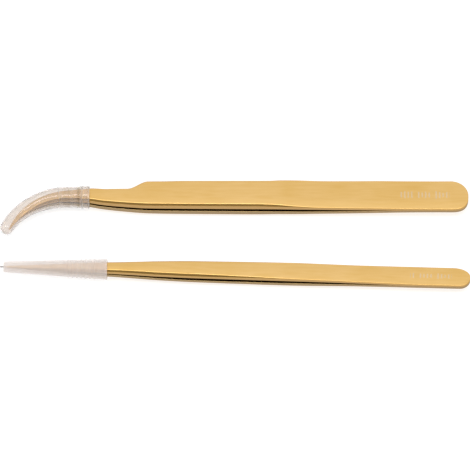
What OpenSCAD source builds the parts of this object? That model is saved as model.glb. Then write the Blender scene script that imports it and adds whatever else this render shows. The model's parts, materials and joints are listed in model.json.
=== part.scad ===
// Two pairs of gold-coated stamp tongs, each with a sleeve over its tips.
// One pair has a wide body and hooked tips, the other is slim and straight.
//
// Frame of the set: +X runs from the tips to the heels, +Z is up and the
// origin is the middle of the set on the surface that it lies on.
// Frame of one pair: the heel end is at 0, the tips lie towards -X and the
// arms meet at Z = 0. A distance called d is measured from the heel end.

/* [Set] */
// Distance between the two pairs, at the middle of the set
set_pitch = 27.55; // [24:0.1:40]
// Turn of the straight pair, with its tips towards the curved pair
straight_yaw = 1.8; // [0:0.1:2.5]
// How far the heel of the curved pair stops short of the other heel
heel_stagger = 0.05; // [0:0.05:4]

/* [Curved body] */
// Heel end to the start of the bend
curved_body_len = 120; // [104:1:150]
// Width across the heel
curved_heel_w = 10.4; // [8.6:0.1:13]
// Fullness of the heel's near corner, where 2 is a circle
curved_heel_fullness = 2.7; // [2:0.1:3.2]
// Width across the grip, in front of the heel
curved_grip_w = 9.4; // [8:0.1:12]
// How far the shoulder's middle lies behind the start of the bend
shoulder_back = 20.65; // [16:0.05:24]
// Length of the shoulder's step
shoulder_len = 6.2; // [4:0.1:9]
// Distance from the pair's line to the far edge of the neck
neck_edge = 1.67; // [1.2:0.01:2]
// Half of the closed pair's height over the grip
curved_grip_h = 2.65; // [1.9:0.05:3.1]

/* [Curved tips] */
// Radius of the bend, at the middle of the arm
bend_r = 19.3; // [17.5:0.1:23.2]
// Angle that the tips turn through
bend_angle = 66.5; // [45:0.5:72]
// Width of the arms at the sleeve's mouth
hook_root_w = 4.7; // [3.8:0.1:6]
// Half of the closed pair's height at the sleeve's mouth
hook_root_h = 2.2; // [1.8:0.05:2.7]

/* [Curved sleeve] */
// Gap between the arms' corners and the collar's bore
collar_fit = 0.2; // [0.1:0.01:0.6]
// Length of the collar
collar_len = 3; // [1:0.1:4]
// How far the collar stands out from the sleeve behind it
collar_step = 0.2; // [0:0.02:0.25]
// Outer radius at the sleeve's closed end
sleeve_end_r = 2; // [1.7:0.05:2.2]
// Wall of the sleeve
sleeve_wall = 0.3; // [0.2:0.05:0.4]
// How far the mouth lies behind the start of the bend
mouth_back = 6.6; // [5:0.1:9]
// How far the sleeve runs on past the tips
sleeve_past_tip = 2; // [1.5:0.1:4]

/* [Straight body] */
// Length of the straight pair
straight_len = 140.4; // [117:0.1:170]
// Width across the heel
straight_heel_w = 6.44; // [5.4:0.02:8]
// Length over which the heel's far side rounds off
straight_heel_round = 5; // [3.3:0.1:6]
// Width across the grip, where the taper to the tips starts
straight_grip_w = 5.7; // [4.8:0.02:7]
// Half of the closed pair's height where the taper starts
straight_grip_h = 2.12; // [1.75:0.02:2.6]
// Length of the taper to the tips
taper_len = 59; // [54:0.5:70]
// Width of a needle tip
straight_tip_w = 0.3; // [0.24:0.02:0.5]
// Half of the closed needle tips' height
straight_tip_h = 0.13; // [0.12:0.01:0.25]

/* [Straight cap] */
// Length of the cap
cap_len = 31; // [25:0.5:37]
// Gap between the arms' corners and the bore at the cap's mouth
cap_fit = 0.48; // [0.2:0.02:1]
// Outer radius at the cap's open small end
cap_end_r = 1.62; // [1.4:0.02:2]
// Wall of the cap
cap_wall = 0.45; // [0.3:0.05:0.6]
// How far the needle tips stand out of the small end
tip_out = 1.1; // [0.6:0.1:3]
// Number of ribs around the cap
rib_count = 7; // [3:1:9]
// Distance from one rib to the next
rib_pitch = 1.3; // [1:0.05:1.6]
// Height of a rib
rib_h = 0.12; // [0.05:0.01:0.2]
// How far the first rib lies from the mouth
rib_start = 3.5; // [2.5:0.1:5]

/* [Heels] */
// Half of the height of the two blades at the heel
heel_h = 0.88; // [0.7:0.01:1.2]
// Length over which the blades lie on each other
joined_len = 20; // [18:0.5:26]
// Radius of a spot weld
weld_r = 1.1; // [0.8:0.05:1.4]
// Depth of a spot weld in each blade
weld_depth = 0.35; // [0.2:0.05:0.45]
// Distance of the first spot weld from the heel end
weld_first = 6; // [4.5:0.1:8]
// Distance between the two spot welds
weld_pitch = 9; // [5:0.1:10]
// Gap around a weld in the upper blade
weld_gap = 0.05; // [0.03:0.01:0.1]

/* [Arms] */
// Half of the gap between the arms over the grip
arm_gap = 0.6; // [0.4:0.05:0.8]
// Half of the gap between the closed tips
tip_gap = 0.03; // [0.02:0.01:0.06]
// Bevel along the outer edges of the grip
edge_bevel = 0.58; // [0.3:0.02:0.7]

/* [Hidden] */

gold = [0.87, 0.74, 0.48];
weld_gold = [0.74, 0.60, 0.36];
clear_vinyl = [0.84, 0.88, 0.92];
frosted_vinyl = [0.93, 0.91, 0.89];

ring_sides = 32;
section_step = 3;
bend_step = 4;
dome_step = 15;
heel_step = 16;
cap_sides = 96;

// Stations of the curved pair, from the heel end
shoulder_d = curved_body_len - shoulder_back;
mouth_d = curved_body_len - mouth_back;
bend_len = bend_r * bend_angle * PI / 180;
hook_len = mouth_back + bend_len;
curved_heel_r = curved_heel_w / 2;
// The bend leaves from a line a little to the near side of the heel's middle
bend_offset = -0.35;

// Stations of the straight pair, from the heel end
taper_d = straight_len - taper_len;
cap_mouth_d = straight_len - tip_out - cap_len;
straight_heel_r = straight_heel_w / 2;

// Smooth step from 0 to 1 as t goes from 0 to 1
function ease(t) = let (u = min(max(t, 0), 1)) u * u * (3 - 2 * u);

// Half-width of a heel at distance d: a superellipse with the half-width w
// and the exponent n, which rounds off over the length a
function heel_round(d, w, a, n = 2) =
    d >= a ? w : w * pow(max(1 - pow((a - d) / a, n), 0), 1 / n);

// Plan of the curved body: its far edge drops at the shoulder to the neck
grip_far = curved_grip_w / 2 - 0.25;
grip_near = curved_grip_w / 2 + 0.25;
function body_far(d) = lookup(d, [
    [joined_len + 2, curved_heel_r - 0.1], [joined_len + 16, grip_far + 0.4],
    [joined_len + 25, grip_far + 0.29], [joined_len + 31, grip_far + 0.38],
    [joined_len + 36.5, grip_far + 0.35], [joined_len + 40, grip_far + 0.1],
    [joined_len + 44, grip_far],
    [shoulder_d - 14, grip_far - 0.03], [shoulder_d - 8, grip_far - 0.17]]);
function far_edge(d) = min(heel_round(d, curved_heel_r, curved_heel_r),
    body_far(d) + (neck_edge - body_far(d)) * ease((d - shoulder_d) / shoulder_len + 0.5));
function near_edge(d) = d < curved_heel_r
    ? heel_round(d, curved_heel_r, curved_heel_r, curved_heel_fullness)
    : lookup(d, [
        [curved_heel_r, curved_heel_r], [joined_len + 2, grip_near + 0.2],
        [joined_len + 17, grip_near + 0.25], [joined_len + 30, grip_near + 0.2],
        [joined_len + 38, grip_near + 0.1], [joined_len + 50, grip_near + 0.03],
        [shoulder_d - 4, grip_near - 0.23], [shoulder_d + 5, grip_near - 0.9],
        [mouth_d - 3, hook_root_w / 2 - bend_offset + 0.6],
        [mouth_d, hook_root_w / 2 - bend_offset]]);

// Half-height and bevel of the closed curved pair
function body_h(d) = lookup(d, [
    [joined_len - 10, heel_h], [joined_len - 5, heel_h + 0.06], [joined_len + 1, heel_h + 0.17],
    [joined_len + 7, heel_h + 0.37], [joined_len + 16, heel_h + 0.57],
    [joined_len + 25, curved_grip_h - 0.97], [joined_len + 31, curved_grip_h - 0.65],
    [joined_len + 37, curved_grip_h - 0.29], [joined_len + 42, curved_grip_h - 0.05],
    [joined_len + 46, curved_grip_h], [shoulder_d - 10, curved_grip_h],
    [shoulder_d + 2, curved_grip_h - 0.15], [mouth_d, hook_root_h]]);
function bevel(d) = lookup(d, [
    [joined_len + 2, 0.12], [joined_len + 25, 0.25 * edge_bevel],
    [joined_len + 32, 0.5 * edge_bevel], [joined_len + 40, edge_bevel]]);

// Half of the gap between the arms, where "last" is the end of the full gap
function gap(d, last, tip) = lookup(d, [
    [joined_len, 0], [joined_len + 7, 0.3 * arm_gap], [joined_len + 16, 0.6 * arm_gap],
    [joined_len + 25, 0.84 * arm_gap], [joined_len + 38, arm_gap],
    [last, arm_gap], [tip, tip_gap]]);

// Half-width, half-height and bevel of the hook, by the distance s from the
// sleeve's mouth along the arm: both taper from the root to the needle tip
function hook_w(s) = hook_root_w / 2 * lookup(s / hook_len, [
    [0, 1], [0.14, 0.84], [0.3, 0.72], [0.47, 0.64], [0.63, 0.52], [0.78, 0.36], [1, 0.085]]);
function hook_h(s) = hook_root_h * lookup(s / hook_len, [
    [0, 1], [0.14, 0.93], [0.3, 0.82], [0.47, 0.66], [0.63, 0.48], [0.78, 0.27], [1, 0.07]]);
function hook_bevel(s) = lookup(s / hook_len, [
    [0, edge_bevel], [0.3, edge_bevel], [0.63, 0.7 * edge_bevel], [1, 0.08]]);

// Point [x, y] and turn of a line that runs straight to the bend and then
// follows an arc; "back" is the straight length before the bend
function bent_point(s, back, r, y) =
    let (a = max(s - back, 0) / r * 180 / PI)
    s < back ? [-curved_body_len + back - s, y]
             : [-curved_body_len - r * sin(a), y - r * (1 - cos(a))];
function bent_turn(s, back, r) = max(s - back, 0) / r * 180 / PI;

// A station of an arm: [point, turn, near half-width, far half-width,
// inner height, outer height, bevel]
function body_station(d) =
    [[-d, 0], 0, near_edge(d), far_edge(d), gap(d, shoulder_d - 20, curved_body_len + bend_len),
     body_h(d), bevel(d)];
function hook_station(s) =
    [bent_point(s, mouth_back, bend_r, bend_offset), bent_turn(s, mouth_back, bend_r),
     hook_w(s), hook_w(s), gap(mouth_d + s, shoulder_d - 20, curved_body_len + bend_len),
     hook_h(s), hook_bevel(s)];
function straight_half_w(d) = lookup(d, [
    [joined_len - 4, straight_heel_r], [joined_len + 2, straight_heel_r - 0.08],
    [joined_len + 16, straight_heel_r - 0.19], [joined_len + 37, straight_heel_r - 0.21],
    [taper_d - 15, straight_grip_w / 2 + 0.1], [taper_d, straight_grip_w / 2],
    [taper_d + 0.2 * taper_len, 0.44 * straight_grip_w],
    [taper_d + 0.3 * taper_len, 0.385 * straight_grip_w],
    [taper_d + 0.4 * taper_len, 0.336 * straight_grip_w],
    [taper_d + 0.46 * taper_len, 0.315 * straight_grip_w], [straight_len, straight_tip_w / 2]]);
function straight_half_h(d) = lookup(d, [
    [joined_len - 10, heel_h], [joined_len - 4, heel_h + 0.03], [joined_len + 4, heel_h + 0.17],
    [joined_len + 16, heel_h + 0.42], [joined_len + 31, straight_grip_h - 0.36],
    [joined_len + 46, straight_grip_h - 0.12],
    [taper_d, straight_grip_h], [taper_d + 0.2 * taper_len, 0.96 * straight_grip_h],
    [taper_d + 0.46 * taper_len, 0.825 * straight_grip_h], [straight_len, straight_tip_h]]);
function straight_bevel(d) = lookup(d, [
    [joined_len + 2, 0.1], [joined_len + 30, 0.25 * edge_bevel],
    [joined_len + 40, 0.5 * edge_bevel], [joined_len + 50, 0.8 * edge_bevel],
    [taper_d, 1.1 * edge_bevel], [taper_d + 0.46 * taper_len, edge_bevel], [straight_len, 0.06]]);
function straight_station(d) =
    [[-d, 0], 0,
     min(heel_round(d, straight_heel_r, straight_heel_r), straight_half_w(d)),
     min(heel_round(d, straight_heel_r, straight_heel_round), straight_half_w(d)),
     gap(d, taper_d, straight_len), straight_half_h(d), straight_bevel(d)];

// Distances of the stations around a heel of radius r
function heel_ds(r) = [for (a = [heel_step : heel_step : 90]) r * (1 - cos(a))];
// Even stations from a to b, about one every step
function even(a, b, step) = let (n = ceil((b - a) / step)) [for (i = [1 : n]) a + (b - a) * i / n];

curved_stations = concat(
    [for (d = heel_ds(curved_heel_r)) body_station(d)],
    [for (d = even(curved_heel_r, shoulder_d - shoulder_len, section_step)) body_station(d)],
    [for (d = even(shoulder_d - shoulder_len, shoulder_d + shoulder_len, 1)) body_station(d)],
    [for (d = even(shoulder_d + shoulder_len, mouth_d - 0.5, section_step)) body_station(d)],
    [for (s = even(0, mouth_back, section_step)) hook_station(s)],
    [for (a = even(0, bend_angle, bend_step)) hook_station(mouth_back + a / 180 * PI * bend_r)]);
straight_stations = concat(
    [for (d = heel_ds(straight_heel_r)) straight_station(d)],
    [for (d = even(straight_heel_r, taper_d, section_step)) straight_station(d)],
    [for (d = even(taper_d, straight_len, section_step)) straight_station(d)]);

// How far an arm's bevelled corners reach from the pair's line
function corner_reach(w, h, b) = max(norm([w, h - b]), norm([w - b, h]));

// The collar and the cap's mouth clear the corners of the arms inside them
collar_r = corner_reach(hook_w(0), hook_h(0), hook_bevel(0)) + collar_fit + sleeve_wall;
sleeve_r = collar_r - collar_step;
cap_mouth_r = cap_fit + cap_wall + corner_reach(straight_half_w(cap_mouth_d),
    straight_half_h(cap_mouth_d), straight_bevel(cap_mouth_d));

// Heights of the two pairs: each sleeve touches the surface under it
curved_z = collar_r;
straight_z = cap_mouth_r;

// The straight pair is centred along X, and the set is centred along Y
straight_heel_x = straight_len * cos(straight_yaw) / 2;
curved_heel_x = straight_heel_x - heel_stagger;
straight_drop = max([for (s = straight_stations)
    s[2] * cos(straight_yaw) + (straight_heel_x + s[0][0] * cos(straight_yaw)) * tan(straight_yaw)]);
set_shift_y = (straight_drop - curved_heel_r) / 2;
curved_y = set_pitch / 2 + set_shift_y;
straight_y = -set_pitch / 2 + set_shift_y - straight_heel_x * tan(straight_yaw);

// The ring of points of a station, placed at its point and turn
function place_ring(ring, point, turn) = [for (p = ring)
    [point[0] + p[0] * -sin(turn), point[1] + p[0] * cos(turn), p[1]]];
function arm_ring(s) = place_ring(
    [[-s[2], s[4]], [s[3], s[4]], [s[3], s[5] - s[6]], [s[3] - s[6], s[5]],
     [-s[2] + s[6], s[5]], [-s[2], s[5] - s[6]]], s[0], s[1]);

// A closed solid through a list of rings with the same number of points
module loft(rings) {
    n = len(rings[0]);
    last = len(rings) - 1;
    polyhedron(
        points = [for (ring = rings) for (p = ring) p],
        faces = concat(
            [[for (i = [n - 1 : -1 : 0]) i]],
            [for (k = [0 : last - 1]) for (i = [0 : n - 1])
                [k * n + i, k * n + (i + 1) % n, (k + 1) * n + (i + 1) % n, (k + 1) * n + i]],
            [[for (i = [0 : n - 1]) last * n + i]]),
        convexity = 6);
}

module welds(gap) {
    for (d = [weld_first, weld_first + weld_pitch])
        translate([-d, 0, -weld_depth - gap])
            cylinder(h = 2 * (weld_depth + gap), r = weld_r + gap, $fn = 48);
}

module upper_arm(stations) {
    difference() {
        loft([for (s = stations) arm_ring(s)]);
        welds(weld_gap);
    }
}

module lower_arm(stations) {
    difference() {
        mirror([0, 0, 1]) loft([for (s = stations) arm_ring(s)]);
        welds(0);
    }
}

module curved_place() {
    translate([curved_heel_x, curved_y, curved_z]) children();
}

module straight_place() {
    translate([straight_heel_x, straight_y, straight_z])
        rotate([0, 0, -straight_yaw]) children();
}

module curved_upper_arm() {
    color(gold) curved_place() upper_arm(curved_stations);
}

module curved_lower_arm() {
    color(gold) curved_place() lower_arm(curved_stations);
}

module curved_heel_weld() {
    color(weld_gold) curved_place() welds(0);
}

module straight_upper_arm() {
    color(gold) straight_place() upper_arm(straight_stations);
}

module straight_lower_arm() {
    color(gold) straight_place() lower_arm(straight_stations);
}

module straight_heel_weld() {
    color(weld_gold) straight_place() welds(0);
}

// The sleeve follows a slightly wider arc than the arms, and starts a little
// further out, so that it can be drawn off along the hook
sleeve_y = bend_offset + 0.05;
sleeve_bend_r = bend_r + 0.9;
sleeve_bend = (bend_len + sleeve_past_tip - sleeve_end_r) / sleeve_bend_r * 180 / PI;
sleeve_len = mouth_back + sleeve_bend_r * sleeve_bend * PI / 180;
function sleeve_radius(s) = s <= collar_len ? collar_r : lookup(s / sleeve_len, [
    [0, sleeve_r], [0.33, sleeve_r - 0.05], [0.5, sleeve_r - 0.28], [0.67, sleeve_r - 0.6],
    [0.86, sleeve_end_r + 0.24], [1, sleeve_end_r]]);
// A round ring on the sleeve's line, at s and then a distance on along it
function round_ring(s, r, on = 0) = let (turn = bent_turn(s, mouth_back, sleeve_bend_r))
    place_ring([for (i = [0 : ring_sides - 1]) let (a = i * 360 / ring_sides) r * [cos(a), sin(a)]],
        bent_point(s, mouth_back, sleeve_bend_r, sleeve_y) - on * [cos(turn), sin(turn)], turn);
// The rings of a round end of radius r, from its rim to its pole
function dome(r) = [for (a = [dome_step : dome_step : 90])
    round_ring(sleeve_len, max(r * cos(a), 0.05), r * sin(a))];
sleeve_ss = concat([0, collar_len, collar_len + 0.01],
    even(collar_len + 0.01, mouth_back, 2),
    even(mouth_back, sleeve_len, 1.4));

function bore_radius(s) = sleeve_radius(s) - sleeve_wall;

module curved_tip_cap() {
    color(clear_vinyl) curved_place() difference() {
        loft(concat([for (s = sleeve_ss) round_ring(s, sleeve_radius(s))], dome(sleeve_end_r)));
        loft(concat([round_ring(-1, bore_radius(0))],
            [for (s = sleeve_ss) round_ring(s, bore_radius(s))], dome(bore_radius(sleeve_len))));
    }
}

// The ribs are round hoops on the cone
function cap_r(x) = cap_mouth_r + (cap_end_r - cap_mouth_r) * x / cap_len;
module straight_tip_cap() {
    outline = concat(
        [[cap_mouth_r - cap_wall, 0], [cap_mouth_r, 0]],
        [for (i = [0 : rib_count - 1]) for (k = [0 : 3])
            let (x = rib_start + i * rib_pitch + [0, 0.2, 0.5, 0.7][k])
            [cap_r(x) + (k == 1 || k == 2 ? rib_h : 0), x]],
        [[cap_end_r, cap_len], [cap_end_r - cap_wall, cap_len]]);
    color(frosted_vinyl) straight_place()
        translate([-cap_mouth_d, 0, 0]) rotate([0, -90, 0])
            rotate_extrude($fn = cap_sides) polygon(outline);
}

curved_upper_arm();
curved_lower_arm();
curved_heel_weld();
curved_tip_cap();
straight_upper_arm();
straight_lower_arm();
straight_heel_weld();
straight_tip_cap();
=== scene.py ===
"""Two pairs of gold-coated stamp tongs, lying side by side on a pale table.

The wide pair has hooked tips in a clear vinyl sleeve. The slim pair has
straight needle tips in a frosted cap. Each arm, sleeve and cap is a surface
worked out over two parameters: one runs around or along the piece, and the
other runs over its section. Lengths inside the shape functions are in
millimetres, and they are placed in metres from the frame's own joints.
"""

import json
import math

import bmesh
import bpy
import numpy as np
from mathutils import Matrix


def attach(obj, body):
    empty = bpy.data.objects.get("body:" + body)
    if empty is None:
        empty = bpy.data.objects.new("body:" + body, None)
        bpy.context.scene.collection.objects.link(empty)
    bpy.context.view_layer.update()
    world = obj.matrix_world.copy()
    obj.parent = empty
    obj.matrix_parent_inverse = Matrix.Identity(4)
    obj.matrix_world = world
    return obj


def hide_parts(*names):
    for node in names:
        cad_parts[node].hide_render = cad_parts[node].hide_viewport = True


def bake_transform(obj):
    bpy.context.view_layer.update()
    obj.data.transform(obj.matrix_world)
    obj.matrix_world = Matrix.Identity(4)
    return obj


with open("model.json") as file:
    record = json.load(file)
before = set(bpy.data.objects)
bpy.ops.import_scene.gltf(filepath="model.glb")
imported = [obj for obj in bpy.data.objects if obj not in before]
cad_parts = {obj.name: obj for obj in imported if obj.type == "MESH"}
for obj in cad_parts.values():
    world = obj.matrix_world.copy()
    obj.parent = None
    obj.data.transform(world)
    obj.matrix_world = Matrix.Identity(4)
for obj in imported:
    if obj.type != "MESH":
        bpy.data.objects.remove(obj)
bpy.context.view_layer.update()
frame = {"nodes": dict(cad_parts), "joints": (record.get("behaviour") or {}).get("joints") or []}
joints = {joint["name"]: joint for joint in frame["joints"]}
MM = 0.001


# ---------------------------------------------------------------- camera

VIEW_ELEVATION = math.radians(55)
VIEW_DISTANCE = 2.0
VIEW_SPAN = 0.1407
VIEW_HEIGHT = 0.0031


def add_camera():
    """A long lens on the middle of the set, from in front and above.

    The lens is the sensor's width times the distance over the span it covers.
    """
    data = bpy.data.cameras.new("camera")
    data.sensor_width = 36
    data.lens = 36 * VIEW_DISTANCE / VIEW_SPAN
    data.clip_end = 20
    data.dof.use_dof = False
    camera = bpy.data.objects.new("camera", data)
    camera.location = (
        0,
        -VIEW_DISTANCE * math.cos(VIEW_ELEVATION),
        VIEW_HEIGHT + VIEW_DISTANCE * math.sin(VIEW_ELEVATION),
    )
    camera.rotation_euler = (math.pi / 2 - VIEW_ELEVATION, 0, 0)
    bpy.context.scene.collection.objects.link(camera)
    bpy.context.scene.camera = camera


# ------------------------------------------------------- curves and sections

def curve(points, x):
    """A smooth curve through [place, value] points.

    Each span is a cubic. Its slope at a point is the harmonic mean of the
    slopes on both sides, or 0 where they differ in sign, so it never
    overshoots its points.
    """
    place, value = np.array(points, float).T
    width = np.diff(place)
    slope = np.diff(value) / width
    before, after = slope[:-1], slope[1:]
    same = before * after > 0
    middle = np.where(same, 2 * before * after / np.where(same, before + after, 1), 0)
    tangent = np.concatenate([slope[:1], middle, slope[-1:]])
    k = np.clip(np.searchsorted(place, x) - 1, 0, len(width) - 1)
    t = np.clip((x - place[k]) / width[k], 0, 1)
    return (
        (2 * t**3 - 3 * t**2 + 1) * value[k]
        + (t**3 - 2 * t**2 + t) * width[k] * tangent[k]
        + (3 * t**2 - 2 * t**3) * value[k + 1]
        + (t**3 - t**2) * width[k] * tangent[k + 1]
    )


def ease(t):
    """3t^2 - 2t^3 between 0 and 1, and level beyond them."""
    t = np.clip(t, 0, 1)
    return t * t * (3 - 2 * t)


def rounded(corners, radii, steps=4, shoulder=0.06):
    """Rounds the inner corners of many open paths at once.

    corners holds each path's points, and the first and last stay as they are.
    A corner C becomes the parabola (1-s)^2 A + 2s(1-s) C + s^2 B, where A and
    B lie on its two edges at its radius from C, or at 0.42 of a short edge.
    One more point stands a shoulder's length outside A and B, which keeps the
    flats between the corners flat.
    """
    out = [corners[:, 0]]
    s = np.linspace(0, 1, steps + 1)[None, :, None]
    for k, radius in enumerate(radii, start=1):
        c = corners[:, k]
        ends = []
        for other in (corners[:, k - 1], corners[:, k + 1]):
            edge = other - c
            length = np.linalg.norm(edge, axis=1, keepdims=True)
            near = np.minimum(radius, 0.42 * length)
            far = np.minimum(near + shoulder, 0.48 * length)
            unit = edge / np.maximum(length, 1e-9)
            ends.append((c + unit * near, c + unit * far))
        (a, a_out), (b, b_out) = ends
        bend = (1 - s) ** 2 * a[:, None] + 2 * s * (1 - s) * c[:, None] + s**2 * b[:, None]
        out += [a_out, *np.moveaxis(bend, 1, 0), b_out]
    return np.stack(out + [corners[:, -1]], axis=1)


# ------------------------------------------------------------ laying out

class Pair:
    """Where one pair of tongs lies: its heel end and its three directions."""

    def __init__(self, squeeze, along):
        self.heel = np.array(joints[squeeze]["pos_m"]) / MM
        self.along = np.array(along, float)
        self.up = np.array([0.0, 0.0, 1.0])
        self.across = np.cross(self.along, self.up)

    def place(self, points):
        """Heel + along * x + across * y + up * z, in metres."""
        basis = np.stack([self.along, self.across, self.up])
        return (self.heel + points @ basis) * MM


def add_mesh(name, points, faces, uv=None, masks=None):
    """A mesh object from arrays, with its doubles merged and faces outward."""
    mesh = bpy.data.meshes.new(name)
    mesh.from_pydata(points.reshape(-1, 3), [], faces.reshape(-1, faces.shape[-1]).tolist())
    corner = np.empty(len(mesh.loops), dtype=np.int32)
    mesh.loops.foreach_get("vertex_index", corner)
    if uv is not None:
        layer = mesh.uv_layers.new(name="grain")
        layer.data.foreach_set("uv", uv.reshape(-1, 2)[corner].ravel())
    for label, values in (masks or {}).items():
        attribute = mesh.attributes.new(label, "FLOAT", "POINT")
        attribute.data.foreach_set("value", values.ravel().astype(np.float32))
    form = bmesh.new()
    form.from_mesh(mesh)
    bmesh.ops.remove_doubles(form, verts=form.verts, dist=1e-7)
    bmesh.ops.recalc_face_normals(form, faces=form.faces)
    form.to_mesh(mesh)
    form.free()
    mesh.shade_smooth()
    piece = bpy.data.objects.new(name, mesh)
    bpy.context.scene.collection.objects.link(piece)
    return piece


def grid_faces(rows, columns, close_rows=False, close_columns=False):
    """The quads between the points of a grid, counted row by row."""
    r = np.arange(rows if close_rows else rows - 1)
    c = np.arange(columns if close_columns else columns - 1)
    r, c = (a.ravel() for a in np.meshgrid(r, c, indexing="ij"))
    r1, c1 = (r + 1) % rows, (c + 1) % columns
    corners = (r * columns + c, r * columns + c1, r1 * columns + c1, r1 * columns + c)
    return np.stack(corners, axis=1)


# ---------------------------------------------------------------- arms

class WideArm:
    """Sizes of one arm of the wide pair, by the distance q from the heel end.

    q runs along the arm's middle line: straight for the body, then round the
    bend to the tip.
    """

    body = 120.0
    bend_r = 19.3
    bend_angle = math.radians(66.5)
    offset = -0.35
    mouth = 113.4
    heel_r = 5.2
    near_heel = (5.2, 2.7)
    far_heel = (5.2, 2)
    length = body + bend_r * bend_angle
    tip_w = 0.2
    bare_tip = 0.0
    marks = (5.0, 20.5)
    mark_half = 1.4

    far = [
        [5.2, 5.2], [22, 5.1], [36, 4.85], [45, 4.74], [51, 4.83], [56.5, 4.8], [60, 4.55],
        [64, 4.45], [85.35, 4.42], [91.35, 4.28],
    ]
    near = [
        [5.2, 5.2], [22, 5.15], [37, 5.2], [50, 5.15], [58, 5.05], [70, 4.98], [95.35, 4.72],
        [104.35, 4.05], [110.4, 3.3], [113.4, 2.7],
    ]
    neck = 1.67
    shoulder = 99.35
    shoulder_len = 6.2
    height = [
        [10, 0.88], [15, 0.94], [21, 1.05], [27, 1.25], [36, 1.45], [45, 1.68], [51, 2.0],
        [57, 2.36], [62, 2.6], [66, 2.65], [89.35, 2.65], [101.35, 2.5], [113.4, 2.2],
        [117.5, 2.05], [122.1, 1.8], [127, 1.45], [131.7, 1.05], [136, 0.6], [142.4, 0.15],
    ]
    hook_w = [
        [113.4, 2.35], [117.5, 1.97], [122.1, 1.69], [127, 1.5], [131.7, 1.22],
        [136, 0.85], [142.4, 0.2],
    ]
    gap = [
        [20, 0], [27, 0.18], [36, 0.36], [45, 0.5], [58, 0.6], [79.35, 0.6], [122, 0.34],
        [142.4, 0.03],
    ]
    bevel = [
        [22, 0.12], [45, 0.145], [52, 0.29], [60, 0.58], [122, 0.58], [132, 0.4], [142.4, 0.08],
    ]

    def middle(self, q):
        """Straight, then an arc: (body + R sin a, offset - R (1 - cos a))."""
        a = np.clip(q - self.body, 0, None) / self.bend_r
        straight = self.offset * ease((q - 103) / (self.mouth - 103))
        x = np.where(q < self.body, q, self.body + self.bend_r * np.sin(a))
        y = straight - self.bend_r * (1 - np.cos(a))
        return np.stack([x, y], axis=-1), np.stack([np.sin(a), np.cos(a)], axis=-1)

    def sides(self, q):
        """Distances from the middle line to the near and far edges.

        The far edge steps down at the shoulder from the grip to the neck.
        """
        hook = curve(self.hook_w, q)
        line = self.offset * ease((q - 103) / (self.mouth - 103))
        far = curve(self.far, q)
        step = ease((q - self.shoulder) / self.shoulder_len + 0.5)
        far = far + (self.neck - far) * step - line
        near = curve(self.near, q) + line
        into_hook = ease((q - 109) / (self.mouth - 109))
        far = np.where(q < self.mouth, far + (hook - far) * into_hook, hook)
        near = np.where(q < self.mouth, near, hook)
        return near, far


class SlimArm:
    """Sizes of one arm of the slim pair, by the distance q from the heel end."""

    heel_r = 3.22
    near_heel = (3.22, 2)
    far_heel = (5, 2)
    length = 140.4
    tip_w = 0.15
    bare_tip = 2.0
    marks = (5.0, 18.0)
    mark_half = 1.0
    half = [
        [3.22, 3.22], [16, 3.22], [22, 3.14], [36, 3.03], [57, 3.01], [66.4, 2.95], [81.4, 2.85],
        [93.4, 2.49], [99.4, 2.18], [105.4, 1.9], [108.4, 1.8], [140.4, 0.15],
    ]
    height = [
        [10, 0.88], [16, 0.91], [24, 1.05], [36, 1.3], [51, 1.76], [66, 2.0], [81.4, 2.12],
        [93.4, 2.03], [108.4, 1.75], [140.4, 0.13],
    ]
    gap = [
        [20, 0], [27, 0.18], [36, 0.36], [45, 0.5], [58, 0.6], [81.4, 0.6], [98, 0.38],
        [140.4, 0.03],
    ]
    bevel = [
        [22, 0.1], [50, 0.145], [60, 0.29], [70, 0.46], [81.4, 0.64], [108.4, 0.58], [140.4, 0.06],
    ]

    def middle(self, q):
        """A straight line."""
        zero = np.zeros_like(q)
        return np.stack([q, zero], axis=-1), np.stack([zero, zero + 1], axis=-1)

    def sides(self, q):
        """The same distance to both edges."""
        half = curve(self.half, q)
        return half, half


CROWN = 0.1
CROWN_SHARE = 0.04
FACE_STEPS = 6
# The most of a narrow section's reach or height that its bevel takes
BEVEL_SHARE = 0.6
# How far the inner edge, the side's top and the bevel's top are rounded
EDGE_RADII = [0.1, 0.16, 0.14]
# Stations over the body, and closer ones over the last FINE_LENGTH
BODY_STEPS = 110
FINE_STEPS = 130
FINE_LENGTH = 50
# The grain's coordinates, for each millimetre along and across the arm
GRAIN = 0.01


def heel_width(q, width, shape):
    """width * (1 - ((a - q) / a)^n)^(1 / n) up to the length a of the rounding."""
    a, n = shape
    return width * (1 - (np.clip(a - q, 0, None) / a) ** n) ** (1 / n)


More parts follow.
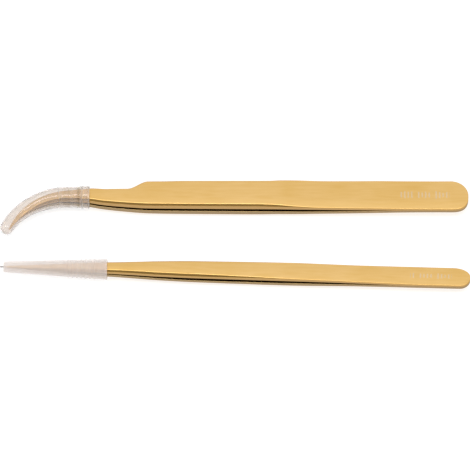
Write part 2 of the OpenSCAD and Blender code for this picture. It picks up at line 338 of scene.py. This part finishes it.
def arm_surface(arm, lower):
    """The closed skin of one arm: around its outline, and over its section.

    The outline goes up the near edge from the tip, round the heel as two
    superellipse quarters, back down the far edge and round the tip. At each
    of its points the section starts on the arm's middle line on the inner
    face, runs out to the side, up it, over the bevel and back to the middle
    line on the outer face. That face is crowned by crown * (1 - f^2), with f
    from 0 at the middle to 1 at the edge, and with crown CROWN or a share
    CROWN_SHARE of a narrow face's reach. The lower arm is its mirror image
    in z.
    """
    q = np.concatenate([
        np.linspace(arm.heel_r, arm.length - FINE_LENGTH, BODY_STEPS),
        np.linspace(arm.length - FINE_LENGTH, arm.length - arm.tip_w, FINE_STEPS)[1:],
    ])
    middle, normal = arm.middle(q)
    near, far = arm.sides(q)
    far = np.where(q < arm.far_heel[0], heel_width(q, arm.heel_r, arm.far_heel), far)
    near_edge = middle - normal * near[:, None]
    far_edge = middle + normal * far[:, None]

    turn = np.radians(np.linspace(90, 0, 22)[1:])
    heel = np.array([arm.heel_r, 0.0])
    heel_q = arm.heel_r * (1 - np.cos(turn))
    heel_arc = np.concatenate([
        np.stack([heel_q, -heel_width(heel_q, arm.heel_r, arm.near_heel)], axis=-1),
        np.stack([heel_q, heel_width(heel_q, arm.heel_r, arm.far_heel)], axis=-1)[-2::-1],
    ])
    turn = np.radians(np.linspace(0, 180, 8)[1:-1])
    tip, tip_normal = middle[-1], normal[-1]
    tip_along = np.array([tip_normal[1], -tip_normal[0]])
    tip_arc = tip + arm.tip_w * (
        np.cos(turn)[:, None] * tip_normal + np.sin(turn)[:, None] * tip_along
    )

    outline = np.concatenate([near_edge[::-1], heel_arc, far_edge, tip_arc])
    spine = np.concatenate([
        middle[::-1], np.tile(heel, (len(heel_arc), 1)), middle, np.tile(tip, (len(tip_arc), 1)),
    ])
    station = np.concatenate([q[::-1], heel_arc[:, 0], q, np.full(len(tip_arc), q[-1])])
    tangent = np.roll(outline, -1, axis=0) - np.roll(outline, 1, axis=0)
    tangent /= np.linalg.norm(tangent, axis=1, keepdims=True)
    outward = np.stack([tangent[:, 1], -tangent[:, 0]], axis=-1)
    outward *= np.sign(np.sum(outward * (outline - spine), axis=1, keepdims=True))

    top = curve(arm.height, station)
    inner = curve(arm.gap, station)
    reach = np.linalg.norm(outline - spine, axis=1)
    bevel = np.minimum(curve(arm.bevel, station), BEVEL_SHARE * np.minimum(reach, top - inner))
    bevel = bevel[:, None]

    def lift(flat, z):
        return np.concatenate([flat, z[:, None]], axis=1)

    corners = np.stack([
        lift(spine, inner),
        lift(outline, inner),
        lift(outline, top - bevel[:, 0]),
        lift(outline - outward * bevel, top),
        lift(spine, top),
    ], axis=1)
    section = rounded(corners, EDGE_RADII)
    rim, crest = section[:, -2:-1], section[:, -1:]
    f = np.linspace(1, 0, FACE_STEPS + 1)[None, 1:, None]
    face = crest + (rim - crest) * f
    face[..., 2:] += np.minimum(CROWN, CROWN_SHARE * reach)[:, None, None] * (1 - f**2)
    section = np.concatenate([section[:, :-1], face], axis=1)

    side = np.sum((section[..., :2] - spine[:, None]) ** 2, axis=2) ** 0.5
    sign = np.concatenate([-np.ones(len(q)), np.zeros(len(heel_arc)), np.ones(len(q)),
                           np.zeros(len(tip_arc))])[:, None]
    round_heel = (np.arange(len(station)) >= len(q)) & (
        np.arange(len(station)) < len(q) + len(heel_arc))
    u = np.where(round_heel[:, None], section[..., 0], station[:, None])
    v = np.where(round_heel[:, None], section[..., 1], side * sign)
    grain = np.stack([u, v], axis=-1) * GRAIN

    # The section's points from first up to last are what the label says
    masks = {}
    for label, first, last in (("inside", 0, 2), ("side", 4, 11), ("bevel", 11, 18)):
        masks[label] = np.zeros(section.shape[:2])
        masks[label][:, first:last] = 1
    if lower:
        section = section * [1, 1, -1]
    return section, grain, masks


def add_arm(name, arm, pair, lower):
    section, grain, masks = arm_surface(arm, lower)
    rows, columns = section.shape[:2]
    faces = grid_faces(rows, columns, close_rows=True)
    return add_mesh(name, pair.place(section), faces, uv=grain, masks=masks)


# ------------------------------------------------------- sleeve and cap

class Sleeve:
    """Sizes of the clear sleeve, by the distance s from its mouth."""

    mouth_back = 6.6
    bend_r = 20.2
    line_y = -0.15
    # How much further along the sleeve's bend starts than the arms'
    shift = 0.4
    length = 28.99
    wall = 0.3
    lip_depth = 0.12
    outer = [
        [0, 3.35], [2.7, 3.35], [3.2, 3.14], [9.6, 3.1], [14.5, 2.87], [19.4, 2.55],
        [24.9, 2.24], [28.99, 2.0],
    ]
    creases = [
        [2.6, -0.1, 0.16], [3.6, 0.1, 0.15], [5.6, 0.06, 0.14], [8.5, 0.08, 0.13],
        [9.3, 0.08, 0.13], [12.2, 0.06, 0.13],
    ]
    # Bands of the skin that look milky, and others tinted tan
    milky = [
        [0.2, 0.8, 0.35], [2.3, 0.8, 0.3], [5.6, 0.4, 0.3], [8.5, 0.55, 0.2], [9.3, 0.6, 0.2],
    ]
    tan_banded = [[3.3, 0.8, 0.45], [6.2, 0.45, 0.3], [7.3, 0.3, 0.35]]


def bell(x, middle, width):
    """exp(-((x - middle) / width)^2), a smooth bump."""
    return np.exp(-(((x - middle) / width) ** 2))


def bands(x, rows):
    """The sum of bumps given as [middle, size, width]."""
    return sum(size * bell(x, middle, width) for middle, size, width in rows)


def sleeve_surface():
    """A wall that is swept round the bend, closed by a half ball at its end.

    Around the ring at s, the skin is middle + r (cos a * normal + sin a * up).
    The outer skin's radius is the table's, with a ripple at each crease, and
    the inner skin lies one wall inside it. They meet at the mouth in a
    rounded lip. The masks say how milky and how tan each ring looks.
    """
    w = Sleeve
    s = np.concatenate([
        np.linspace(w.lip_depth, 4.4, 30), np.linspace(4.4, 8.6, 10)[1:],
        np.linspace(8.6, 13.8, 36)[1:], np.linspace(13.8, w.length, 40)[1:],
    ])
    r = curve(w.outer, s) + bands(s, w.creases)
    dome = np.radians(np.linspace(0, 90, 14)[1:])
    end_r = r[-1]
    outer_s = np.concatenate([s, w.length + end_r * np.sin(dome)])
    outer_r = np.concatenate([r, end_r * np.cos(dome)])
    inner_end = end_r - w.wall
    inner_s = np.concatenate([s, w.length + inner_end * np.sin(dome)])
    inner_r = np.concatenate([r - w.wall, inner_end * np.cos(dome)])
    lip = np.radians(np.linspace(90, -90, 9)[1:-1])
    lip_s = w.lip_depth * (1 - np.cos(lip))
    lip_r = r[0] - w.wall / 2 + w.wall / 2 * np.sin(lip)
    path_s = np.concatenate([outer_s[::-1], lip_s, inner_s])
    radius = np.concatenate([outer_r[::-1], lip_r, inner_r])
    radius = np.where(radius < 1e-6, 0, radius)

    start = WideArm.body + w.shift
    past = np.clip(path_s - w.length, 0, None)
    bent = np.clip(np.minimum(path_s, w.length) - w.mouth_back, 0, None) / w.bend_r
    x = np.where(path_s < w.mouth_back, start - w.mouth_back + path_s,
                 start + w.bend_r * np.sin(bent) + past * np.cos(bent))
    y = w.line_y - w.bend_r * (1 - np.cos(bent)) - past * np.sin(bent)
    a = np.radians(np.arange(0, 360, 5))
    across = np.cos(a)[None] * radius[:, None]
    rise = np.sin(a)[None] * radius[:, None]
    normal = np.stack([np.sin(bent), np.cos(bent)], axis=-1)
    points = np.stack([
        x[:, None] + across * normal[:, :1],
        y[:, None] + across * normal[:, 1:],
        rise,
    ], axis=-1)
    masks = {
        label: np.repeat(bands(path_s, rows)[:, None], len(a), axis=1)
        for label, rows in (("milky", w.milky), ("tan_banded", w.tan_banded))
    }
    return points, masks


class Cap:
    """Sizes of the frosted cap, by the distance s from its mouth."""

    mouth_q = 108.3
    length = 31.0
    mouth_r = 3.08
    end_r = 1.62
    wall = 0.45
    ribs = 7
    rib_pitch = 1.3
    rib_start = 3.85
    rib_h = 0.12


def cap_surface():
    """A wall turned round the slim pair's line, open at both ends.

    Its outer radius falls evenly from the mouth to the small end. Each rib
    adds a smooth bump, and both rims are half-round.
    """
    w = Cap
    half = w.wall / 2
    s = np.concatenate([
        np.linspace(half, 2.8, 8), np.linspace(2.8, 13.2, 130)[1:],
        np.linspace(13.2, w.length - half, 30)[1:],
    ])
    cone = w.mouth_r + (w.end_r - w.mouth_r) * s / w.length
    ribs = sum(bell(s, w.rib_start + k * w.rib_pitch, 0.26) for k in range(w.ribs))
    lip = np.radians(np.linspace(90, -90, 9)[1:-1])
    path_s = np.concatenate([s, s[-1] + half * np.cos(lip), s[::-1], s[0] - half * np.cos(lip)])
    radius = np.concatenate([
        cone + w.rib_h * ribs, cone[-1] - half + half * np.sin(lip),
        cone[::-1] - w.wall, cone[0] - half - half * np.sin(lip),
    ])
    a = np.radians(np.arange(0, 360, 4))
    return np.stack([
        np.broadcast_to((w.mouth_q + path_s)[:, None], (len(path_s), len(a))),
        np.cos(a)[None] * radius[:, None],
        np.sin(a)[None] * radius[:, None],
    ], axis=-1)


# ------------------------------------------------------------- finishes

class Wire:
    """A socket's value in an expression: each operator adds a Math node."""

    def __init__(self, finish, socket):
        self.finish = finish
        self.socket = socket

    def math(self, operation, a, b):
        return self.finish.node("ShaderNodeMath", {"operation": operation}, {0: a, 1: b})["Value"]

    def __add__(self, other):
        return self.math("ADD", self, other)

    def __sub__(self, other):
        return self.math("SUBTRACT", self, other)

    def __rsub__(self, other):
        return self.math("SUBTRACT", other, self)

    def __mul__(self, other):
        return self.math("MULTIPLY", self, other)

    def __gt__(self, other):
        return self.math("GREATER_THAN", self, other)

    def __lt__(self, other):
        return self.math("LESS_THAN", self, other)

    __radd__ = __add__


class Finish:
    """One procedural material, built from expressions on its wires."""

    def __init__(self, name):
        self.material = bpy.data.materials.new(name)
        self.material.use_nodes = True
        self.tree = self.material.node_tree
        self.tree.nodes.clear()

    def node(self, kind, settings=None, inputs=None):
        """Adds a node: its settings, then the values or links of its sockets."""
        made = self.tree.nodes.new(kind)
        for key, value in (settings or {}).items():
            setattr(made, key, value)
        for key, value in (inputs or {}).items():
            if isinstance(value, Wire):
                self.tree.links.new(value.socket, made.inputs[key])
            else:
                made.inputs[key].default_value = value
        wires = {}
        for output in made.outputs:
            if output.enabled:
                wires.setdefault(output.name, Wire(self, output))
        return wires

    def place(self):
        return self.node("ShaderNodeTexCoord")["Object"]

    def stretched(self, vector, x, y, z):
        """The vector with each axis multiplied, which stretches a pattern."""
        made = self.node("ShaderNodeMapping", None, {"Vector": vector, "Scale": (x, y, z)})
        return made["Vector"]

    def noise(self, vector, scale, detail=2.0, roughness=0.5):
        return self.node("ShaderNodeTexNoise", None, {
            "Vector": vector, "Scale": scale, "Detail": detail, "Roughness": roughness,
        })["Fac"]

    def blend(self, amount, a, b):
        """Colour a where amount is 0, colour b where it is 1."""
        made = self.tree.nodes.new("ShaderNodeMix")
        made.data_type = "RGBA"
        for index, value in ((0, amount), (6, a), (7, b)):
            if isinstance(value, Wire):
                self.tree.links.new(value.socket, made.inputs[index])
            else:
                made.inputs[index].default_value = (*value, 1) if index else value
        return Wire(self, made.outputs[2])

    def surface(self, inputs, bump=None, strength=0.1, distance=0.0001):
        if bump is not None:
            inputs["Normal"] = self.node("ShaderNodeBump", None, {
                "Height": bump, "Strength": strength, "Distance": distance,
            })["Normal"]
        shader = self.node("ShaderNodeBsdfPrincipled", None, inputs)["BSDF"]
        self.node("ShaderNodeOutputMaterial", None, {"Surface": shader})
        return self.material


GOLD = (0.785, 0.495, 0.15)
PALE_GOLD = (0.875, 0.59, 0.245)
# Painted highlight: the face is painted brighter towards its near edge
HIGHLIGHT_GOLD = (0.98, 0.66, 0.26)
NEAR_HIGHLIGHT = 0.18
# Painted shade: a darker gold on the bevel, which faces dark surroundings
BEVEL_SHADE_GOLD = (0.66, 0.40, 0.12)
# Painted shade on the arms' cut sides: darker than the face, and darker still on the lower arm
UPPER_SIDE_SHADE = (0.52, 0.335, 0.145)
LOWER_SIDE_SHADE = (0.37, 0.275, 0.165)
# Painted shade: near black on the inner faces, which lie in shade between the arms
INSIDE_SHADE_GOLD = (0.06, 0.028, 0.008)
ETCHED = (0.70, 0.575, 0.40)
BARE_STEEL = (0.42, 0.40, 0.38)
STROKE_STEP = 1.05
STROKE_SHARE = 0.42
GROUP_STEP = 5.6
GROUP_SHARE = 0.78


def brushed_gold(name, side_shade, arm):
    """Satin gold coating, brushed along the arm, with rougher cut sides painted darker as shade.

    The grain is noise drawn out along the arm, and a painted highlight makes
    the face brighter towards its near edge. Groups of short strokes are etched near the heel.
    They repeat every STROKE_STEP and the groups every GROUP_STEP, between
    the arm's marks, and reach up to mark_half to each side of the middle
    line. The coating is worn off over the arm's bare_tip.
    """
    f = Finish(name)
    grain = f.node("ShaderNodeUVMap", {"uv_map": "grain"})["UV"]
    side, bevel, inside = (
        f.node("ShaderNodeAttribute", {"attribute_name": label})["Fac"]
        for label in ("side", "bevel", "inside")
    )
    fine = f.noise(f.stretched(grain, 1, 60, 1), 110, 3, 0.6)
    broad = f.noise(f.stretched(grain, 1, 9, 1), 14, 2)
    cloud = f.noise(f.place(), 90, 2)
    parts = f.node("ShaderNodeSeparateXYZ", None, {"Vector": grain})
    along, across = parts["X"] * (1 / GRAIN), parts["Y"] * (1 / GRAIN)

    def every(step, share):
        turns = f.node("ShaderNodeMath", {"operation": "FRACT"}, {0: along * (1 / step)})
        return turns["Value"] < share

    size = f.node("ShaderNodeMath", {"operation": "ABSOLUTE"}, {0: across})["Value"]
    reach = f.noise(f.stretched(grain, 1, 0, 0), 140, 0) * (1.6 * arm.mark_half)
    first, last = arm.marks
    patch = (along > first) * (along < last) * (size < reach)
    marks = every(STROKE_STEP, STROKE_SHARE) * every(GROUP_STEP, GROUP_SHARE) * patch
    marks = marks * (1 - side) * (1 - bevel) * (1 - inside)
    tone = f.blend(broad + cloud - 0.5, GOLD, PALE_GOLD)
    # Painted highlight: a brighter gold towards the face's near edge
    tone = f.blend((0 - across) * NEAR_HIGHLIGHT - 0.35, tone, HIGHLIGHT_GOLD)
    # Painted shade over the bevel
    tone = f.blend(bevel, tone, BEVEL_SHADE_GOLD)
    # The cut sides take their painted shade colour
    tone = f.blend(side, tone, side_shade)
    # Painted shade on the inner faces between the arms
    tone = f.blend(inside, tone, INSIDE_SHADE_GOLD)
    tone = f.blend(along > arm.length - arm.bare_tip, tone, BARE_STEEL)
    tone = f.blend(marks * 0.75, tone, ETCHED)
    rough = 0.27 + fine * 0.12 + broad * 0.05 + side * 0.06 + marks * 0.25
    return f.surface(
        {"Base Color": tone, "Metallic": 1.0, "Roughness": rough,
         "Specular Tint": (0.7, 0.6, 0.45, 1)},
        bump=fine - marks * 0.6, strength=0.12, distance=0.00002,
    )


def weld_steel():
    f = Finish("weld_steel")
    spots = f.noise(f.place(), 1800, 3)
    return f.surface({
        "Base Color": f.blend(spots, (0.42, 0.31, 0.15), (0.62, 0.47, 0.24)),
        "Metallic": 1.0, "Roughness": 0.35 + spots * 0.2,
    }, bump=spots, strength=0.2)


def clear_vinyl():
    """Clear soft vinyl with faint waves, a warm tint, painted shade towards its rims, milky bands
    and tan bands.
    """
    f = Finish("clear_vinyl")
    milky, tan_banded = (
        f.node("ShaderNodeAttribute", {"attribute_name": label})["Fac"]
        for label in ("milky", "tan_banded")
    )
    waves = f.noise(f.place(), 260, 2)
    # Painted shade: the colour darkens towards the rims, where the skin turns away from view
    slant = f.node("ShaderNodeLayerWeight", None, {"Blend": 0.5})["Facing"]
    tone = f.blend(slant * slant, (0.99, 0.94, 0.90), (0.46, 0.40, 0.365))
    # A tan tint over the listed bands
    tone = f.blend(tan_banded * 0.7, tone, (0.66, 0.58, 0.42))
    return f.surface({
        "Base Color": f.blend(milky * 0.8, tone, (1.0, 0.98, 0.96)),
        "Transmission Weight": 0.83, "IOR": 1.42,
        "Roughness": 0.03 + waves * 0.05 + milky * 0.5,
    }, bump=waves, strength=0.15, distance=0.0002)


def frosted_vinyl():
    """Milky vinyl: most light is scattered, some comes through blurred."""
    f = Finish("frosted_vinyl")
    mist = f.noise(f.place(), 420, 3)
    fine = f.noise(f.place(), 3200, 2)
    return f.surface({
        "Base Color": f.blend(mist, (0.80, 0.725, 0.69), (0.86, 0.79, 0.75)),
        "Alpha": 0.36 + mist * 0.08, "IOR": 1.38, "Roughness": 0.42 + mist * 0.12,
    }, bump=fine, strength=0.12)


def table_top():
    f = Finish("table_top")
    speck = f.noise(f.place(), 40, 3)
    return f.surface({
        "Base Color": f.blend(speck, (0.31, 0.31, 0.31), (0.34, 0.34, 0.34)), "Roughness": 0.9,
        "Emission Color": (1, 1, 1, 1), "Emission Strength": 0.76,
    })


# ------------------------------------------------------------ the pieces

def finish_piece(piece, material, slot, *nodes):
    piece.data.materials.clear()
    piece.data.materials.append(material)
    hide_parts(*nodes)


# Two distances from the heel end, placed along each pair and not used further
FLEX = (23.0, 60.0)


def add_tongs():
    wide = Pair("curved_squeeze", (-1, 0, 0))
    slim = Pair("straight_squeeze", joints["straight_cap_pull"]["axis"])
    for pair, arm, label in ((wide, WideArm(), "curved"), (slim, SlimArm(), "straight")):
        lower = add_arm(label + "_arm_under", arm, pair, lower=True)
        # The lower arm's cut sides are painted in a darker shade than the upper's
        metal = brushed_gold(label + "_gold_under", LOWER_SIDE_SHADE, arm)
        finish_piece(lower, metal, "gold_coated_steel", label + "_lower_arm")
        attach(lower, label + "_base")
        upper = add_arm(label + "_arm_over", arm, pair, lower=False)
        # The upper arm's cut sides are painted in a lighter shade than the lower's
        metal = brushed_gold(label + "_gold_over", UPPER_SIDE_SHADE, arm)
        finish_piece(upper, metal, "gold_coated_steel", label + "_upper_arm")
        flex = pair.place(np.array([[d, 0, 0] for d in FLEX]))
        label + "_base"
        label + "_spring_arm"
        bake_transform(upper)
    weld = weld_steel()
    for name in ("curved_heel_weld", "straight_heel_weld"):
        node = frame["nodes"][name]
        node.data.materials.clear()
        node.data.materials.append(weld)

    points, masks = sleeve_surface()
    sleeve = add_mesh("clear_tip_sleeve", wide.place(points),
                      grid_faces(*points.shape[:2], close_columns=True), masks=masks)
    finish_piece(sleeve, clear_vinyl(), "clear_vinyl", "curved_tip_cap")
    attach(sleeve, "curved_cap")
    points = cap_surface()
    cap = add_mesh("frosted_tip_cap", slim.place(points),
                   grid_faces(*points.shape[:2], close_rows=True, close_columns=True))
    finish_piece(cap, frosted_vinyl(), "frosted_vinyl", "straight_tip_cap")
    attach(cap, "straight_cap")


# ---------------------------------------------------------- studio

def add_card(name, centre, width, height, elevation, material):
    """A flat card that faces the middle of the set from centre."""
    x, y = width / 2, height / 2
    mesh = bpy.data.meshes.new(name)
    mesh.from_pydata([(-x, -y, 0), (x, -y, 0), (x, y, 0), (-x, y, 0)], [], [(0, 1, 2, 3)])
    mesh.materials.append(material)
    card = bpy.data.objects.new(name, mesh)
    card.location = centre
    card.rotation_euler = (math.pi / 2 - elevation, 0, 0)
    bpy.context.scene.collection.objects.link(card)
    return card


def add_softbox(name, azimuth, elevation, distance, width, height, power):
    """An area light on a circle round the set, turned to its middle."""
    data = bpy.data.lights.new(name, "AREA")
    data.shape = "RECTANGLE"
    data.size = width
    data.size_y = height
    data.energy = power
    light = bpy.data.objects.new(name, data)
    light.location = (
        distance * math.sin(azimuth) * math.cos(elevation),
        -distance * math.cos(azimuth) * math.cos(elevation),
        distance * math.sin(elevation),
    )
    light.rotation_euler = (math.pi / 2 - elevation, 0, azimuth)
    bpy.context.scene.collection.objects.link(light)


def add_studio():
    world = bpy.data.worlds.new("studio")
    world.use_nodes = True
    background = world.node_tree.nodes["Background"]
    background.inputs["Color"].default_value = (1.0, 0.985, 0.97, 1)
    background.inputs["Strength"].default_value = 0.9
    bpy.context.scene.world = world
    bpy.context.scene.view_settings.view_transform = "Standard"
    add_card("table_top", (0, 0, 0), 6, 6, math.pi / 2, table_top())
    dark = Finish("dark_card").surface({"Base Color": (0.05, 0.045, 0.04, 1), "Roughness": 0.9})
    front = math.radians(33)
    card = add_card("dark_card", (0, -0.6 * math.cos(front), 0.6 * math.sin(front)),
                    1.1, 0.34, front, dark)
    card.visible_camera = False
    add_softbox("top_softbox", 0, math.radians(80), 0.9, 1.0, 0.25, 3.5)


add_camera()
add_tongs()
add_studio()
